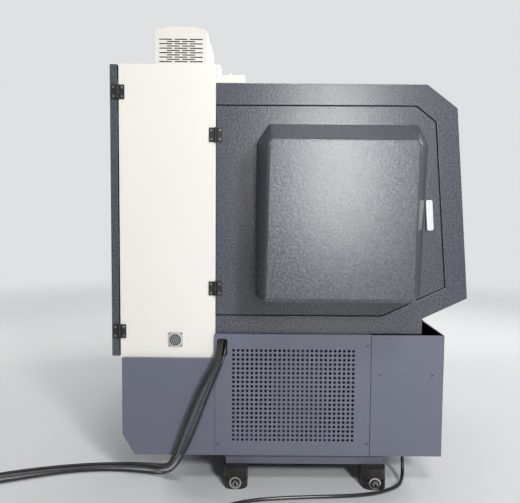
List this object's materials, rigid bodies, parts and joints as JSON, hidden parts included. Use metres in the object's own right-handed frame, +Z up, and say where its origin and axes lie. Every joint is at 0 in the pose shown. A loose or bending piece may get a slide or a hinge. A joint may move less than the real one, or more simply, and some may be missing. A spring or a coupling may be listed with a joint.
{
  "type": "cnc lathe",
  "caption": "Slant-bed turning machine: tapered cover on its end door, cabinet with cooling unit behind, perforated base panel and free supply cables.",
  "frame": {"origin": "on the floor, under the middle of the machine's box without its cables", "axes": "+X along the spindle towards the tailstock, -Y towards the operator, +Z up"},
  "size_m": [2.6606, 2.5896, 2.111],
  "materials": {
    "base_grey": "satin blue-grey paint",
    "hammered_grey": "hammered dark blue-grey paint",
    "cabinet_white": "smooth white paint",
    "foot_iron": "oiled dark iron",
    "casting": "painted cast iron",
    "machine_steel": "ground steel",
    "dark_metal": "black enamel",
    "hinge_black": "black powder coat",
    "belt_rubber": "ribbed rubber",
    "cable_black": "matt black jacket",
    "cable_gloss": "glossy black jacket",
    "window_glass": "laminated glass",
    "latch_white": "white plastic face",
    "stop_red": "red plastic",
    "button_green": "green plastic",
    "socket_grey": "grey plastic",
    "console_grey": "dark grey paint",
    "drive_plastic": "dark plastic"
  },
  "bodies": {
    "machine": {"base_frame": "base_grey", "perforated_panel": "base_grey", "levelling_feet": "foot_iron", "coolant_tank": "base_grey", "chip_tray": "base_grey", "bed_casting": "casting", "headstock_casting": "casting", "spindle_bearings": "machine_steel", "drive_belt": "belt_rubber", "spindle_motor": "dark_metal", "z_servo_motor": "dark_metal", "end_frame": "hammered_grey", "front_panel": "hammered_grey", "rear_and_roof_panel": "hammered_grey", "right_panel": "hammered_grey", "fixed_hinge_leaves": "hinge_black", "control_console": "console_grey", "electrical_cabinet": "cabinet_white", "cabinet_drives": "drive_plastic", "air_conditioner": "cabinet_white", "power_socket": "socket_grey", "cable_trunk": "cabinet_white", "supply_loom": "cable_black", "supply_loom_coil": "cable_black", "signal_cable": "cable_gloss", "signal_cable_coil": "cable_gloss", "pedal_cable": "cable_gloss", "pedal_cable_coil": "cable_gloss", "pedal_plug": "drive_plastic"},
    "spindle_unit": {"spindle": "machine_steel", "spindle_pulley": "machine_steel", "chuck_body": "machine_steel", "chuck_cylinder": "machine_steel"},
    "draw_tube": {"draw_tube": "machine_steel"},
    "jaw_1": {"chuck_jaw_1": "machine_steel"},
    "jaw_2": {"chuck_jaw_2": "machine_steel"},
    "jaw_3": {"chuck_jaw_3": "machine_steel"},
    "motor_pulley": {"motor_pulley": "machine_steel"},
    "carriage": {"saddle": "casting", "x_servo_motor": "dark_metal"},
    "ball_screw": {"z_ball_screw": "machine_steel"},
    "turret": {"cross_slide": "casting", "turret_body": "casting"},
    "tool_disc": {"turret_disc": "machine_steel"},
    "tailstock": {"tailstock_body": "casting"},
    "quill": {"tailstock_quill": "machine_steel"},
    "centre": {"live_centre": "machine_steel"},
    "end_door": {"end_door": "hammered_grey", "end_door_cover": "hammered_grey", "end_door_hinge_leaves": "hinge_black"},
    "lock_lever": {"end_door_lock": "latch_white"},
    "operator_door": {"sliding_door": "hammered_grey", "door_window": "window_glass", "door_handle": "machine_steel"},
    "cabinet_door": {"cabinet_rear_door": "hammered_grey", "rear_door_hinge_leaves": "hinge_black"},
    "emergency_stop": {"emergency_stop": "stop_red"},
    "start_button": {"start_button": "button_green"},
    "feed_knob": {"feed_knob": "drive_plastic"},
    "handwheel": {"handwheel": "drive_plastic"}
  },
  "joints": [
    {"name": "end_door_swing", "type": "hinge", "parent": "machine", "child": "end_door", "pos_m": [-1.007, 0.3585, 1.2065], "axis": [0, 0, -1], "range_deg": [0, 100]},
    {"name": "lock_turn", "type": "hinge", "parent": "end_door", "child": "lock_lever", "pos_m": [-1.01, -0.553, 1.251], "axis": [-1, 0, 0], "range_deg": [0, 90]},
    {"name": "operator_door_slide", "type": "slide", "parent": "machine", "child": "operator_door", "axis": [1, 0, 0], "range_m": [0, 0.6]},
    {"name": "cabinet_door_swing", "type": "hinge", "parent": "machine", "child": "cabinet_door", "pos_m": [-1.007, 0.774, 1.197], "axis": [0, 0, 1], "range_deg": [0, 120]},
    {"name": "spindle_spin", "type": "hinge", "parent": "machine", "child": "spindle_unit", "pos_m": [-0.7, -0.1815, 1.15], "axis": [1, 0, 0], "continuous": true},
    {"name": "motor_spin", "type": "hinge", "parent": "machine", "child": "motor_pulley", "pos_m": [-0.93, -0.0195, 0.4], "axis": [1, 0, 0], "continuous": true},
    {"name": "draw_tube_pull", "type": "slide", "parent": "spindle_unit", "child": "draw_tube", "axis": [-1, 0, 0], "range_m": [0, 0.015]},
    {"name": "jaw_1_grip", "type": "slide", "parent": "spindle_unit", "child": "jaw_1", "axis": [0, 0, -1], "range_m": [0, 0.005]},
    {"name": "jaw_2_grip", "type": "slide", "parent": "spindle_unit", "child": "jaw_2", "axis": [0, 0.866, 0.5], "range_m": [0, 0.005]},
    {"name": "jaw_3_grip", "type": "slide", "parent": "spindle_unit", "child": "jaw_3", "axis": [0, -0.866, 0.5], "range_m": [0, 0.005]},
    {"name": "z_slide", "type": "slide", "parent": "machine", "child": "carriage", "axis": [1, 0, 0], "range_m": [-0.13, 0.3]},
    {"name": "screw_turn", "type": "hinge", "parent": "machine", "child": "ball_screw", "pos_m": [0, 0.16357, 1.10192], "axis": [1, 0, 0], "continuous": true},
    {"name": "x_slide", "type": "slide", "parent": "carriage", "child": "turret", "axis": [0, 0.7071, 0.7071], "range_m": [-0.18, 0.02]},
    {"name": "turret_index", "type": "hinge", "parent": "turret", "child": "tool_disc", "pos_m": [-0.035, 0.10134, 1.43284], "axis": [1, 0, 0], "continuous": true},
    {"name": "tailstock_slide", "type": "slide", "parent": "machine", "child": "tailstock", "axis": [1, 0, 0], "range_m": [-0.1, 0.15]},
    {"name": "quill_slide", "type": "slide", "parent": "tailstock", "child": "quill", "axis": [-1, 0, 0], "range_m": [0, 0.08]},
    {"name": "centre_spin", "type": "hinge", "parent": "quill", "child": "centre", "pos_m": [0.38, -0.1815, 1.15], "axis": [1, 0, 0], "continuous": true},
    {"name": "emergency_stop_press", "type": "slide", "parent": "machine", "child": "emergency_stop", "axis": [0, 1, 0], "range_m": [0, 0.005], "stiffness_N_per_m": 2000},
    {"name": "start_button_press", "type": "slide", "parent": "machine", "child": "start_button", "axis": [0, 1, 0], "range_m": [0, 0.004], "stiffness_N_per_m": 800},
    {"name": "feed_knob_turn", "type": "hinge", "parent": "machine", "child": "feed_knob", "pos_m": [0.85, -0.7735, 1.1], "axis": [0, 1, 0], "range_deg": [-135, 135]},
    {"name": "handwheel_turn", "type": "hinge", "parent": "machine", "child": "handwheel", "pos_m": [0.98, -0.7735, 1.1], "axis": [0, 1, 0], "continuous": true}
  ],
  "couplings": [
    {"joint": "motor_spin", "follows": "spindle_spin", "ratio": 1.375},
    {"joint": "jaw_1_grip", "follows": "draw_tube_pull", "ratio": 0.33333},
    {"joint": "jaw_2_grip", "follows": "draw_tube_pull", "ratio": 0.33333},
    {"joint": "jaw_3_grip", "follows": "draw_tube_pull", "ratio": 0.33333},
    {"joint": "screw_turn", "follows": "z_slide", "rad_per_m": 628.32}
  ]
}
